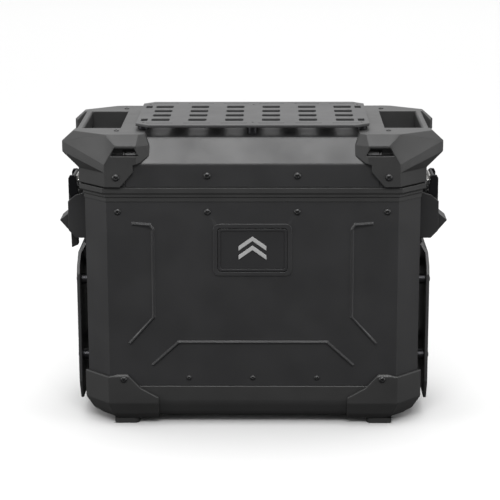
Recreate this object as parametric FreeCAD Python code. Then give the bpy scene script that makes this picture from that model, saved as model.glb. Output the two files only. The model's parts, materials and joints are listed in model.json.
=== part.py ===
import FreeCAD, Part
import itertools
import math
import os

# Hard side case for a motorcycle, in millimetres. +Z is up, the outer panel faces -Y and the
# side that hangs on the rack faces +Y. Everything is drawn about the middle of the case, and
# moved at the end so that the origin lies under the middle of the whole assembly's box.

V = FreeCAD.Vector
X_AXIS = V(1, 0, 0)
Y_AXIS = V(0, 1, 0)
Z_AXIS = V(0, 0, 1)
TOUCH = 1e-3
OFFSET_CORNER = 2 - math.sqrt(2)

# Case body
HALF_WIDTH = 218.0
HALF_DEPTH = 110.0
CHAMFER = 30.0
WALL = 2.0
TRAY_BOTTOM = 10.0
TRAY_BEND = 32.0
TRAY_TOP = 55.6
TRAY_INSET = 14.0
TRAY_KNEE = 16.0
TRAY_KNEE_INSET = 0.45 * TRAY_INSET
TRAY_END_INSET = 1.6
UPSTAND_TOP = 74.0
UPSTAND_WALL = 2.4
RIM_BOTTOM = 303.0
RIM_STEP = 312.6
RIM_TOP = 321.5
RIM_OUT = 3.9
RIM_END_OUT = 6.8
RIM_NOTCH = 34.0
SHELL_TOP = 318.0

# Lid
LID_BOTTOM = 323.5
LID_HALF_DEPTH = 113.5
LID_SHOULDER = 342.4
LID_SLOPE = 352.5
LID_TOP = 385.0
LID_TOP_HALF_DEPTH = 99.0
LID_HALF_BOX = 165.0
GASKET_BOTTOM = 321.8
GASKET_WIDTH = 2.6
GASKET_INSET = 0.2

# Lid end mouldings with the carrying handles
END_TOP = 391.0
END_FRONT = 120.0
END_EDGE_X = 189.0
END_EDGE_Y = 111.5
END_EDGE_LOW_Y = 118.6
END_EDGE_BEND = 352.0
END_OUT = 245.5
END_INNER_X = 137.0
HAND_IN = 171.0
HAND_OUT = 219.5
HAND_HALF = 65.0
BAR_BOTTOM = 368.0
BAR_OUT = 229.5
SKIRT_OUT = 225.0
SLOT_LEFT = 145.0
SLOT_RIGHT = 180.0
SLOT_SLANT = 5.0
SLOT_LOW = 364.0
SLOT_HIGH = 374.0
SLOT_DEPTH = 14.0

# Cargo plate on top of the lid
PLATE_TOP = 399.5
PLATE_THICK = 3.6
PLATE_HALF_X = 150.5
PLATE_HALF_Y = 92.5
COLUMN_PITCH = 48.0
ROW_PITCH = 34.0
COLUMNS = 6
ROWS = 4
STRAP_SLOT_X = 23.4
STRAP_SLOT_Y = 18.5
SLIT_Y = 77.0
SLIT_HALF = (17.0, 1.3)
END_SLOT_Y = 1.5 * ROW_PITCH
END_SLOT_HALF_X = 4.1
POST_RADIUS = 7.0
POST_BORE = 2.3
POST_X = 141.0
POST_Y = 71.0

# Latch, as distances u out from the side wall and heights w
LEVER_PIN = (16.0, 299.0)
HOOK_PIN = (15.5, 283.0)
HOOK_BAR = (20.4, 317.0)
HOOK_BOW = 27.5
LEVER_PIN_RADIUS = 2.5
HOOK_PIN_RADIUS = 2.0
HOOK_BAR_RADIUS = 2.5
RUNNING = 0.05
LEVER_HALF = 20.0
CHANNEL_HALF = 14.0
LUG_HALF = 13.5
ARM_IN = 20.5
ARM_OUT = 24.5
CHEEK_IN = 26.0
CHEEK_OUT = 30.0
BASE_THICK = 3.0
BASE_LOW = 236.0
BASE_HIGH = 300.0
LOCK_HEIGHT = 271.0
LOCK_RADIUS = 5.0
LOCK_FROM = 18.0
LOCK_TO = 28.8

# Rack hooks and rack lock on the back
RACK_TUBE_BORE = 9.15
RACK_HOOK_WALL = 4.05
RACK_TUBE_Y = 127.5
RACK_HOOK_X = 120.0
RACK_HOOK_WIDTH = 24.0
RACK_HOOK_HEIGHTS = {"upper": 250.0, "lower": 90.0}
RACK_HOOK_PLATE = 4.0
RACK_LOCK_HEIGHT = 170.0
RACK_SHAFT_RADIUS = 6.0

# Side plates
SIDE_PLATE_OUT = 232.5
SIDE_PLATE_LOW = 21.0
SIDE_PLATE_THICK = 4.2
SIDE_PLATE_HALF = 70.0
STANDOFF_PLACES = ((-48.0, 185.0), (48.0, 185.0), (-48.0, 80.0), (48.0, 80.0))

# Corner guards and feet
GUARD_OUT = 4.5
GUARD_BOTTOM = 7.5
GUARD_TOP = 72.0
FOOT_X = 167.0
FOOT_Y = 92.0
FOOT_HALF = 9.0
FOOT_RADIUS = 7.8

# Badge recess on the outer panel
BADGE_MIDDLE = 239.4
BADGE_HALF = (50.5, 34.2)
BADGE_SURROUND = 1.6
BADGE_FLOOR = 1.2
BADGE_RIM = 5.0
BEZEL_GAP = 1.0
BEZEL_WIDTH = 3.0

# Fasteners: radius of the head, and how far the shank reaches in from its seat
RIM_BOLT = (4.6, 7.0)
RIVET = (3.6, 7.0)
GUARD_BOLT = (4.6, 12.0)
LID_BOLT = (4.9, 6.0)
CORNER_BOLT = (5.0, 12.0)
SIDE_PLATE_BOLT = (5.0, 19.0)
LATCH_SCREW = (3.4, 8.0)
HANDLE_SCREW_SIZE = (3.4, 14.0)
RACK_BOLT = (4.0, 9.0)
PLATE_BOLT = (4.0, 18.5)
PLATE_BOLT_SINK = 1.9

# A fastener's other sizes, as parts of its head's radius
HEAD_HEIGHT = 0.55
HEAD_TOP = 0.68
SHANK = 0.55
SOCKET = 0.45
SOCKET_DEPTH = 0.8
HOLE_CLEARANCE = 0.1

# Places of the fasteners
RIM_BOLT_X = (-173.3, -57.7, 57.7, 173.3)
RIM_BOLT_Z = 289.7
RIVET_X = (-83.8, 0.0, 83.8)
RIVET_Z = 66.4
LID_BOLT_X = (-57.7, 57.7)
LID_BOLT_Z = 337.6
CORNER_BOLT_X = 174.0
CORNER_BOLT_Z = 336.6
GUARD_BOLT_X = 169.4
GUARD_BOLT_Z = 65.3
HANDLE_SCREW = (174.7, 86.0)
LATCH_PLACES = ((-16.0, 243.0), (16.0, 243.0), (-9.0, 268.0), (9.0, 268.0))
RACK_HOOK_BOLT_X = 26.0
RACK_LOCK_BOLT = 18.0


def prism(points, low, high):
    """Outline in X and Y, drawn up along Z."""
    ring = [V(x, y, low) for x, y in list(points) + [points[0]]]
    return Part.Face(Part.makePolygon(ring)).extrude(Z_AXIS * (high - low))


def prism_y(points, low, high):
    """Outline in X and Z, drawn along Y."""
    ring = [V(x, low, z) for x, z in list(points) + [points[0]]]
    return Part.Face(Part.makePolygon(ring)).extrude(Y_AXIS * (high - low))


def prism_x(points, low, high):
    """Outline in Y and Z, drawn along X."""
    ring = [V(low, y, z) for y, z in list(points) + [points[0]]]
    return Part.Face(Part.makePolygon(ring)).extrude(X_AXIS * (high - low))


def block(low, high):
    """Upright box between two corners."""
    size = [b - a for a, b in zip(low, high)]
    return Part.makeBox(*size, V(*low))


def rod(radius, start, end):
    """Cylinder between two points."""
    start, end = V(*start), V(*end)
    return Part.makeCylinder(radius, (end - start).Length, start, end - start)


def fuse(shapes):
    """One shape from several that overlap or touch."""
    shapes = list(shapes)
    return shapes[0].multiFuse(shapes[1:]).removeSplitter()


def group(shapes):
    """Several separate solids in one part."""
    return Part.makeCompound(list(shapes))


def mirrored(shape, axis):
    """The same shape on the other side of the case's middle plane."""
    return shape.mirror(V(0, 0, 0), axis)


def outline(half_x, half_y, chamfer):
    """Rectangle about the middle with its four corners cut off."""
    x, y, c = half_x, half_y, chamfer
    quarter = [(x - c, -y), (x, c - y)]
    return quarter + [(x, y - c), (x - c, y), (c - x, y), (-x, y - c), (-x, c - y), (c - x, -y)]


def body_outline(grow, half_y=HALF_DEPTH):
    """The case's own outline, grown outwards by a distance."""
    return outline(HALF_WIDTH + grow, half_y + grow, CHAMFER + grow * OFFSET_CORNER)


def hull(points):
    """Convex solid around points, each of which is a corner of it."""
    cloud = [V(*p) for p in points]
    planes = {}
    for a, b, c in itertools.combinations(cloud, 3):
        normal = (b - a).cross(c - a)
        if normal.Length < TOUCH:
            continue
        normal.normalize()
        heights = [normal.dot(p - a) for p in cloud]
        if max(heights) > TOUCH and min(heights) < -TOUCH:
            continue
        members = frozenset(i for i, h in enumerate(heights) if abs(h) <= TOUCH)
        planes[members] = -normal if max(heights) > TOUCH else normal
    faces = []
    for members, normal in planes.items():
        if any(members < other for other in planes):
            continue
        ring = [cloud[i] for i in members]
        centre = sum(ring[1:], ring[0]) * (1 / len(ring))
        side = (ring[0] - centre).normalize()
        up = normal.cross(side)
        ring.sort(key=lambda p: math.atan2((p - centre).dot(up), (p - centre).dot(side)))
        faces.append(Part.Face(Part.makePolygon(ring + ring[:1])))
    solid = Part.makeSolid(Part.makeShell(faces))
    return solid.reversed() if solid.Volume < 0 else solid


def tiers(levels):
    """Stack of levels, each a height and an outline, joined by straight walls."""
    parts = []
    for (low, below), (high, above) in zip(levels, levels[1:]):
        if below == above:
            parts.append(prism(below, low, high))
        else:
            parts.append(hull([(x, y, low) for x, y in below] + [(x, y, high) for x, y in above]))
    return fuse(parts) if len(parts) > 1 else parts[0]


def bolt(seat, out, head_radius, grip):
    """Button-head bolt: a domed head on its seat, a hexagon socket and a shank inwards."""
    seat, out = V(*seat), V(*out)
    height = head_radius * HEAD_HEIGHT
    head = Part.makeCone(head_radius, head_radius * HEAD_TOP, height, seat, out)
    shank = Part.makeCylinder(head_radius * SHANK, grip, seat, out * -1)
    across = head_radius * SOCKET
    side = V(0, 0, 1) if abs(out.z) < 0.5 else V(1, 0, 0)
    other = out.cross(side)
    corners = [
        seat + out * height + (side * math.cos(a) + other * math.sin(a)) * across
        for a in [math.radians(60 * k) for k in range(6)]
    ]
    socket = Part.Face(Part.makePolygon(corners + corners[:1])).extrude(out * (-SOCKET_DEPTH * height))
    return head.fuse(shank).removeSplitter().cut(socket)


def bolts(seats, out, head_radius, grip):
    """A bolt on each seat, and the holes that they need."""
    made = [bolt(seat, out, head_radius, grip) for seat in seats]
    bore = head_radius * SHANK + HOLE_CLEARANCE
    holes = []
    for seat in seats:
        start = V(*seat) + V(*out) * HOLE_CLEARANCE
        holes.append(Part.makeCylinder(bore, grip + 3 * HOLE_CLEARANCE, start, V(*out) * -1))
    return made, holes


def both_sides(places, distance, head_radius, grip):
    """Bolts at places in X and Z on the outer panel's face and on the back's."""
    made, holes = [], []
    for sign in (-1, 1):
        seats = [(x, sign * distance, z) for x, z in places]
        some, bores = bolts(seats, (0, sign, 0), head_radius, grip)
        made += some
        holes += bores
    return made, holes


def both_ends(places, distance, head_radius, grip):
    """Bolts at places in Y and Z on both of the case's ends."""
    made, holes = [], []
    for sign in (-1, 1):
        seats = [(sign * distance, y, z) for y, z in places]
        some, bores = bolts(seats, (sign, 0, 0), head_radius, grip)
        made += some
        holes += bores
    return made, holes


# Fasteners that several parts share: each pair is the fasteners and the holes they need
POSTS = [
    (x, side * POST_Y, END_TOP if x else LID_TOP) for x in (-POST_X, 0.0, POST_X) for side in (-1, 1)
]
GUARD_PLACES = [(-GUARD_BOLT_X, GUARD_BOLT_Z), (GUARD_BOLT_X, GUARD_BOLT_Z)]
CORNER_PLACES = [(-CORNER_BOLT_X, CORNER_BOLT_Z), (CORNER_BOLT_X, CORNER_BOLT_Z)]
RIM_BOLTS = both_sides([(x, RIM_BOLT_Z) for x in RIM_BOLT_X], HALF_DEPTH, *RIM_BOLT)
RIVETS = both_sides([(x, RIVET_Z) for x in RIVET_X], HALF_DEPTH, *RIVET)
GUARD_BOLTS = both_sides(GUARD_PLACES, HALF_DEPTH + GUARD_OUT, *GUARD_BOLT)
LID_BOLTS = both_sides([(x, LID_BOLT_Z) for x in LID_BOLT_X], LID_HALF_DEPTH, *LID_BOLT)
CORNER_BOLTS = both_sides(CORNER_PLACES, END_FRONT, *CORNER_BOLT)
SIDE_PLATE_BOLTS = both_ends(STANDOFF_PLACES, SIDE_PLATE_OUT, *SIDE_PLATE_BOLT)
LATCH_SCREWS = both_ends(LATCH_PLACES, HALF_WIDTH + BASE_THICK, *LATCH_SCREW)


# ---- case body ----


def ridge(start, end, half_base, half_top, rise):
    """Raised bead on the outer panel between two points in X and Z."""
    dx, dz = end[0] - start[0], end[1] - start[1]
    length = math.hypot(dx, dz)
    along = (dx / length, dz / length)
    across = (-along[1], along[0])
    corners = []
    for half, depth in ((half_base, 0.5), (half_top, -rise)):
        for point, sign in ((start, -1), (end, 1)):
            for side in (-1, 1):
                x = point[0] + along[0] * sign * half + across[0] * side * half
                z = point[1] + along[1] * sign * half + across[1] * side * half
                corners.append((x, depth - HALF_DEPTH, z))
    return hull(corners)


def panel_beads():
    """The two bracket-shaped beads and the low one across the outer panel."""
    bracket = [(153.7, 273.8), (132.5, 272.3), (129.0, 266.4), (128.8, 149.2), (159.5, 114.3)]
    low = [(-129.9, 84.8), (-96.7, 114.9), (96.7, 114.9), (129.9, 84.8)]
    routes = [bracket, [(-x, z) for x, z in bracket], low]
    beads = []
    for route in routes:
        for start, end in zip(route, route[1:]):
            beads.append(ridge(start, end, 2.6, 0.8, 1.9))
    return beads


def badge_slab(inset, corner, out, deep):
    """Slab with rounded corners about the badge's middle, from out of the panel's face to deep in it."""
    half_x, half_z = BADGE_HALF[0] - inset, BADGE_HALF[1] - inset
    low = (-half_x, -HALF_DEPTH - out, BADGE_MIDDLE - half_z)
    slab = block(low, (half_x, deep - HALF_DEPTH, BADGE_MIDDLE + half_z))
    upright = [edge for edge in slab.Edges if abs(edge.tangentAt(edge.FirstParameter).y) > 0.9]
    return slab.makeFillet(corner, upright)


def case_shell():
    """The drawn panel tube: four walls with chamfered corners and a beaded outer panel."""
    tube = prism(body_outline(0), TRAY_TOP, SHELL_TOP)
    tube = tube.cut(prism(body_outline(-WALL), TRAY_TOP - 1, SHELL_TOP + 1))
    surround = badge_slab(0, 7, BADGE_SURROUND, 0.5)
    shell = fuse([tube, surround] + panel_beads())
    shell = shell.cut(badge_slab(BADGE_RIM, 5, 2 * BADGE_SURROUND, BADGE_FLOOR))
    z = RACK_LOCK_HEIGHT
    shaft = rod(RACK_SHAFT_RADIUS + 0.3, (0, HALF_DEPTH - 6, z), (0, HALF_DEPTH + 2, z))
    holes = RIM_BOLTS[1] + RIVETS[1] + GUARD_BOLTS[1] + SIDE_PLATE_BOLTS[1] + LATCH_SCREWS[1]
    return shell.cut(group(holes + rack_bolts()[1] + [shaft]))


def case_rim():
    """Stiff frame round the mouth, notched at the latches, its band wider at the ends."""
    corner = CHAMFER + RIM_OUT * OFFSET_CORNER
    band = outline(HALF_WIDTH + RIM_END_OUT, HALF_DEPTH + RIM_OUT, corner)
    levels = [
        (RIM_BOTTOM, body_outline(1.0)),
        (308.5, body_outline(1.0)),
        (308.5 + 1, body_outline(2.4)),
        (RIM_STEP, body_outline(2.4)),
        (RIM_STEP + 2.5, band),
        (RIM_TOP, band),
    ]
    ring = tiers(levels)
    ring = ring.cut(prism(body_outline(0), RIM_BOTTOM - 1, SHELL_TOP))
    ring = ring.cut(prism(body_outline(-5), RIM_BOTTOM, RIM_TOP + 1))
    for sign in (-1, 1):
        ends = sorted((sign * (HALF_WIDTH + 0.8), sign * (HALF_WIDTH + 20)))
        ring = ring.cut(block((ends[0], -RIM_NOTCH, RIM_BOTTOM - 1), (ends[1], RIM_NOTCH, RIM_TOP + 1)))
    return ring


def tray_outline(grow, inset):
    """Outline of the base, drawn in further at its ends than at its long sides."""
    corner = CHAMFER + (grow - inset) * OFFSET_CORNER
    return outline(HALF_WIDTH + grow - TRAY_END_INSET * inset, HALF_DEPTH + grow - inset, corner)


def tray_levels(grow):
    """Outside of the base tray, grown by a distance."""
    return [
        (TRAY_BOTTOM - grow, tray_outline(grow, TRAY_INSET)),
        (TRAY_KNEE - grow, tray_outline(grow, TRAY_KNEE_INSET)),
        (TRAY_BEND - grow, body_outline(grow)),
        (TRAY_TOP, body_outline(grow)),
    ]


def base_tray():
    """Moulded base: a bowl under the panel tube, with an upstand inside the tube."""
    bowl = tiers(tray_levels(0))
    upstand = prism(body_outline(-WALL - 0.1), TRAY_TOP - 5, UPSTAND_TOP)
    solid = fuse([bowl, upstand])
    inner = body_outline(-WALL - 0.1 - UPSTAND_WALL)
    hollow = [
        (TRAY_BOTTOM + 4, tray_outline(-4, TRAY_INSET)),
        (TRAY_KNEE + 4, tray_outline(-5, TRAY_KNEE_INSET)),
        (TRAY_BEND + 4, inner),
        (UPSTAND_TOP + 1, inner),
    ]
    holes = RIVETS[1] + GUARD_BOLTS[1]
    return solid.cut(tiers(hollow)).cut(group(holes))


def corner_guard():
    """Lower corner guard at the right of the outer panel, wrapped round the chamfer."""
    outside = [
        (GUARD_BOTTOM, tray_outline(GUARD_OUT, TRAY_INSET)),
        (TRAY_KNEE, tray_outline(GUARD_OUT, TRAY_KNEE_INSET)),
        (TRAY_BEND, body_outline(GUARD_OUT)),
        (GUARD_TOP - 3, body_outline(GUARD_OUT)),
        (GUARD_TOP, body_outline(GUARD_OUT - 2)),
    ]
    skin = tiers(outside)
    skin = skin.cut(tiers(tray_levels(0)))
    skin = skin.cut(prism(body_outline(0), TRAY_TOP - 1, GUARD_TOP + 1))
    front = [
        (124, 0), (124, 40.1), (147.4, 53.3), (164.5, 71.8), (177.7, 71.8), (187.2, 69),
        (240, 69), (240, 0),
    ]
    side = [(-130, 0), (-130, 80), (-82, 80), (-78, 64), (-62, 46), (-46, 40), (-46, 0)]
    guard = skin.common(prism_y(front, -130, 0)).common(prism_x(side, 100, 240))
    return guard.cut(group(GUARD_BOLTS[1]))


def rubber_foot():
    """Rounded rubber pad under a corner guard."""
    x0, x1 = FOOT_X - FOOT_HALF, FOOT_X + FOOT_HALF
    pad = [block((x0, FOOT_Y - FOOT_RADIUS, 0), (x1, FOOT_Y + FOOT_RADIUS, GUARD_BOTTOM))]
    for x in (x0, x1):
        pad.append(rod(FOOT_RADIUS, (x, FOOT_Y, 0), (x, FOOT_Y, GUARD_BOTTOM)))
    return fuse(pad)


def quarters(shape):
    """A shape at the right of the outer panel, and its mirror images, by name."""
    front_left = mirrored(shape, X_AXIS)
    return {
        "front_right": shape,
        "front_left": front_left,
        "back_right": mirrored(shape, Y_AXIS),
        "back_left": mirrored(front_left, Y_AXIS),
    }


def badge_frame():
    """Flat bezel set in the badge recess."""
    edge = BADGE_RIM + BEZEL_GAP
    bezel = badge_slab(edge, 4, BADGE_SURROUND - 0.2, BADGE_FLOOR)
    return bezel.cut(badge_slab(edge + BEZEL_WIDTH, 2.5, 2 * BADGE_SURROUND, 2 * BADGE_FLOOR))


def badge_plate():
    """Satin plate inside the bezel."""
    return badge_slab(BADGE_RIM + BEZEL_GAP + BEZEL_WIDTH + 0.1, 2.4, 0.4, BADGE_FLOOR)


def badge_emblem():
    """Plain emblem: a mountain line of two chevrons, one over the other."""
    chevrons = []
    for base in (BADGE_MIDDLE - 13.0, BADGE_MIDDLE - 1.0):
        points = [(-18, base), (0, base + 13), (18, base), (18, base - 6), (0, base + 7), (-18, base - 6)]
        chevrons.append(prism_y([(x, z + 6) for x, z in points], -HALF_DEPTH - 1.6, -HALF_DEPTH - 0.4))
    return group(chevrons)


def side_plate():
    """Protective plate on the right end: flat, its top turned in, its corners cut."""
    x = SIDE_PLATE_OUT
    t = SIDE_PLATE_THICK
    profile = [(x, SIDE_PLATE_LOW), (x, 207), (x - 1.3, 223.5), (x - 8.5, 236)]
    inner = [(x - 8.5 - t, 233.5), (x - 1.3 - t, 222), (x - t, 206), (x - t, SIDE_PLATE_LOW)]
    sheet = prism_y(profile + inner, -SIDE_PLATE_HALF, SIDE_PLATE_HALF)
    h = SIDE_PLATE_HALF
    low = SIDE_PLATE_LOW - 4
    mask = [
        (18 - h, low), (h - 18, low), (h, low + 31), (h, 196), (h - 22, 240), (22 - h, 240),
        (-h, 196), (-h, low + 31),
    ]
    return sheet.common(prism_x(mask, 200, 260)).cut(group(SIDE_PLATE_BOLTS[1]))


def side_plate_standoffs():
    """Spacer tubes between the end walls and the side plates."""
    tubes = []
    for sign in (-1, 1):
        for y, z in STANDOFF_PLACES:
            start = (sign * HALF_WIDTH, y, z)
            end = (sign * (SIDE_PLATE_OUT - SIDE_PLATE_THICK), y, z)
            tubes.append(rod(7.0, start, end).cut(rod(2.95, start, end)))
    return group(tubes)


# ---- latches, drawn on the right end ----


def at(point, y):
    """A latch point, out from the wall and up, at a place along Y."""
    return (HALF_WIDTH + point[0], y, point[1])


def latch_profile(points, low, high):
    """Latch outline, out from the wall and up, drawn along Y."""
    return prism_y([(HALF_WIDTH + u, w) for u, w in points], low, high)


def latch_pin(centre, radius, low, high):
    """Round pin of the latch along Y."""
    return rod(radius, at(centre, low), at(centre, high))


def latch_base():
    """Base plate on the wall, a guard cheek on each side and the lever's lug."""
    plate = [(0, BASE_LOW), (BASE_THICK, BASE_LOW), (BASE_THICK, BASE_HIGH), (0, BASE_HIGH)]
    cheek = [(0, BASE_LOW), (18.5, BASE_LOW), (28.2, 246.4), (28.2, 286.0), (18.0, 294.7), (0, BASE_HIGH)]
    lug = [(0, 286), (12, 293), (LEVER_PIN[0], 293), (LEVER_PIN[0], 304.5), (0, 300)]
    parts = [
        latch_profile(plate, -CHEEK_OUT, CHEEK_OUT),
        latch_profile(cheek, -CHEEK_OUT, -CHEEK_IN),
        latch_profile(cheek, CHEEK_IN, CHEEK_OUT),
        latch_profile(lug, -LUG_HALF, LUG_HALF),
        latch_pin(LEVER_PIN, 6.0, -LUG_HALF, LUG_HALF),
    ]
    base = fuse(parts).cut(latch_pin(LEVER_PIN, LEVER_PIN_RADIUS, -CHEEK_OUT, CHEEK_OUT))
    return base.cut(group(LATCH_SCREWS[1]))


def latch_lever():
    """Channel-shaped lever with its finger lip below, bored for the pins and the lock."""
    profile = [
        (24, 245.5), (28, 243.3), (40.8, 258.3), (30.5, 266.5), (28, 270), (28, 298), (24, 303.5),
        (20, 305.5), (12.5, 305.5), (9.5, 302.5), (9.5, 284), (13, 277), (16, 262),
    ]
    lever = latch_profile(profile, -LEVER_HALF, LEVER_HALF)
    channel = [(0, 279), (25, 279), (25, 310), (0, 310)]
    lever = lever.cut(latch_profile(channel, -CHANNEL_HALF, CHANNEL_HALF))
    lever = lever.cut(latch_pin(LEVER_PIN, LEVER_PIN_RADIUS + RUNNING, -CHEEK_OUT, CHEEK_OUT))
    lever = lever.cut(latch_pin(HOOK_PIN, HOOK_PIN_RADIUS, -CHEEK_OUT, CHEEK_OUT))
    bore = rod(LOCK_RADIUS + RUNNING, at((LOCK_FROM, LOCK_HEIGHT), 0), at((LOCK_TO + 4, LOCK_HEIGHT), 0))
    return lever.cut(bore)


def lever_pin():
    """Pin through the base's lug that the lever turns on."""
    return latch_pin(LEVER_PIN, LEVER_PIN_RADIUS, -LEVER_HALF, LEVER_HALF)


def hook_pins():
    """The two stub pins in the lever's walls that carry the hook."""
    return group([
        latch_pin(HOOK_PIN, HOOK_PIN_RADIUS, -ARM_OUT, -CHANNEL_HALF),
        latch_pin(HOOK_PIN, HOOK_PIN_RADIUS, CHANNEL_HALF, ARM_OUT),
    ])


def latch_hook():
    """Steel bail: a bowed arm on each side of the lever, and the bar that takes the keeper."""
    (pin_u, pin_w), (bar_u, bar_w) = HOOK_PIN, HOOK_BAR
    arm = [
        (pin_u - 3, pin_w + 2), (bar_u - 2.6, bar_w), (bar_u, bar_w + 3.4), (HOOK_BOW - 2, bar_w + 3),
        (HOOK_BOW, bar_w - 1), (HOOK_BOW, pin_w + 13), (pin_u + 3.5, pin_w - 2),
    ]
    parts = [latch_pin(HOOK_BAR, HOOK_BAR_RADIUS, -ARM_OUT, ARM_OUT)]
    for low, high in ((-ARM_OUT, -ARM_IN), (ARM_IN, ARM_OUT)):
        parts.append(latch_profile(arm, low, high))
        parts.append(latch_pin(HOOK_PIN, 4.5, low, high))
        parts.append(latch_pin(HOOK_BAR, 2.8, low, high))
    return fuse(parts).cut(latch_pin(HOOK_PIN, HOOK_PIN_RADIUS + RUNNING, -CHEEK_OUT, CHEEK_OUT))


def lock_cylinder():
    """Key barrel in the lever's face, with its key slot."""
    barrel = rod(LOCK_RADIUS, at((LOCK_FROM, LOCK_HEIGHT), 0), at((LOCK_TO, LOCK_HEIGHT), 0))
    inner, outer = LOCK_TO - 4, LOCK_TO + 1
    low, high = LOCK_HEIGHT - 3, LOCK_HEIGHT + 3
    return barrel.cut(latch_profile([(inner, low), (outer, low), (outer, high), (inner, high)], -0.7, 0.7))


def keeper():
    """Steel catch on the lid end's skirt, its lip turned up for the hook's bar."""
    skirt = SKIRT_OUT - HALF_WIDTH
    profile = [
        (skirt, 311), (17.5, 311), (17.5, 319), (15.5, 319), (15.5, 313.2), (skirt + 2.5, 313.2),
        (skirt + 2.5, 340), (skirt, 340),
    ]
    return latch_profile(profile, -18, 18)


def pull_tab():
    """Rubber tab that hangs from the left lever's lip."""
    profile = [(24, 245.5), (28, 243.3), (27.6, 232), (27.2, 217), (18.2, 221), (19, 236)]
    return mirrored(latch_profile(profile, -6, 6), X_AXIS)


# ---- rack hooks and rack lock on the back ----


def rack_bolts():
    """Bolts of the rack hooks and of the rack lock's plate, and their holes."""
    seats = []
    for height in RACK_HOOK_HEIGHTS.values():
        for x in (-RACK_HOOK_X, RACK_HOOK_X):
            for side in (-1, 1):
                seats.append((x + side * RACK_HOOK_BOLT_X, HALF_DEPTH + RACK_HOOK_PLATE, height))
    for x, z in itertools.product((-RACK_LOCK_BOLT, RACK_LOCK_BOLT), repeat=2):
        seats.append((x, HALF_DEPTH + RACK_HOOK_PLATE, RACK_LOCK_HEIGHT + z))
    return bolts(seats, (0, 1, 0), *RACK_BOLT)


def rack_hook(height):
    """Right-hand hook over a rack tube: a plate, and a half ring with straight legs."""
    inner, outer = RACK_TUBE_BORE, RACK_TUBE_BORE + RACK_HOOK_WALL
    y, half, back = RACK_TUBE_Y, RACK_HOOK_WIDTH / 2, HALF_DEPTH
    x0, x1 = RACK_HOOK_X - half, RACK_HOOK_X + half
    ring = rod(outer, (x0, y, height), (x1, y, height))
    ring = ring.common(block((x0, y - 20, height), (x1, y + 20, height + 20)))
    legs = [
        block((x0, back + 2, height - 14), (x1, y - inner + 0.01, height + 12)),
        block((x0, y + inner - 0.01, height - 10), (x1, y + outer, height)),
    ]
    arch = fuse([ring] + legs)
    arch = arch.cut(rod(inner, (x0, y, height), (x1, y, height)))
    arch = arch.cut(block((x0, y - inner, height - 20), (x1, y + inner, height)))
    low, high = (RACK_HOOK_X - 34, back, height - 16), (RACK_HOOK_X + 34, back + RACK_HOOK_PLATE, height + 16)
    return fuse([block(low, high), arch]).cut(group(rack_bolts()[1]))


def rack_lock_housing():
    """Plate on the back that the rack lock's shaft turns in."""
    y, z = HALF_DEPTH, RACK_LOCK_HEIGHT
    plate = block((-26, y, z - 26), (26, y + RACK_HOOK_PLATE, z + 26))
    boss = rod(11, (0, y, z), (0, y + 6, z))
    bore = rod(RACK_SHAFT_RADIUS + 0.08, (0, y - 1, z), (0, y + 8, z))
    return fuse([plate, boss]).cut(bore).cut(group(rack_bolts()[1]))


def rack_lock_knob():
    """Hand knob inside the case with its shaft through the back."""
    z = RACK_LOCK_HEIGHT
    inside = HALF_DEPTH - WALL
    knob = rod(21, (0, inside - 15, z), (0, inside - 1.5, z))
    grips = []
    for k in range(8):
        angle = math.radians(45 * k)
        x, h = 24 * math.cos(angle), z + 24 * math.sin(angle)
        grips.append(rod(6, (x, inside - 16, h), (x, inside, h)))
    shaft = rod(RACK_SHAFT_RADIUS, (0, inside - 3, z), (0, HALF_DEPTH + 12, z))
    return fuse([knob.cut(group(grips)), shaft])


def rack_lock_cam():
    """Cam on the shaft's outer end that catches the rack."""
    y0, y1, z = HALF_DEPTH + 6.5, HALF_DEPTH + 11.5, RACK_LOCK_HEIGHT
    cam = fuse([rod(11, (0, y0, z), (0, y1, z)), block((-7, y0, z - 34), (7, y1, z))])
    return cam.cut(rod(RACK_SHAFT_RADIUS, (0, y0 - 1, z), (0, y1 + 1, z)))


# ---- lid ----


def lid_outside(grow, top_grow):
    """Solid lid body: a chamfered skirt tray and a narrower box with sloped long sides."""
    depth = LID_HALF_DEPTH + grow
    skirt = prism(body_outline(grow, LID_HALF_DEPTH), LID_BOTTOM, LID_SHOULDER + top_grow)
    x = LID_HALF_BOX + grow
    corners = []
    for sx in (-1, 1):
        for sy in (-1, 1):
            corners.append((sx * x, sy * depth, LID_BOTTOM))
            corners.append((sx * x, sy * depth, LID_SLOPE + top_grow * 0.4))
            corners.append((sx * x, sy * (LID_TOP_HALF_DEPTH + grow), LID_TOP + top_grow))
    return fuse([skirt, hull(corners)])


def lid_slice(low, high):
    """Part of the hollow lid between two places along X, its walls as thick as the case's."""
    shell = lid_outside(0, 0).cut(lid_outside(-WALL, -WALL))
    depth = LID_HALF_DEPTH + 1
    between = block((low, -depth, LID_BOTTOM - 1), (high, depth, LID_TOP + 1))
    holes = LID_BOLTS[1] + CORNER_BOLTS[1] + plate_bolts()[1]
    return shell.common(between).cut(group(holes))


def lid_shell():
    """Folded middle of the lid: its top, sloped faces and upright bands."""
    return lid_slice(WALL - LID_HALF_BOX, LID_HALF_BOX - WALL)


def lid_end_wall():
    """Wall that closes the right end of the lid's raised middle."""
    return lid_slice(LID_HALF_BOX - WALL, LID_HALF_BOX)


def lid_shelf():
    """Low end of the lid under the right end moulding: a shelf with its skirt."""
    return lid_slice(LID_HALF_BOX, HALF_WIDTH + 1)


def lid_gasket():
    """Rubber seal under the lid's edge."""
    outer = body_outline(-GASKET_INSET, LID_HALF_DEPTH)
    inner = body_outline(-GASKET_INSET - GASKET_WIDTH, LID_HALF_DEPTH)
    return prism(outer, GASKET_BOTTOM, LID_BOTTOM).cut(prism(inner, GASKET_BOTTOM - 1, LID_BOTTOM + 1))


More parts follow.
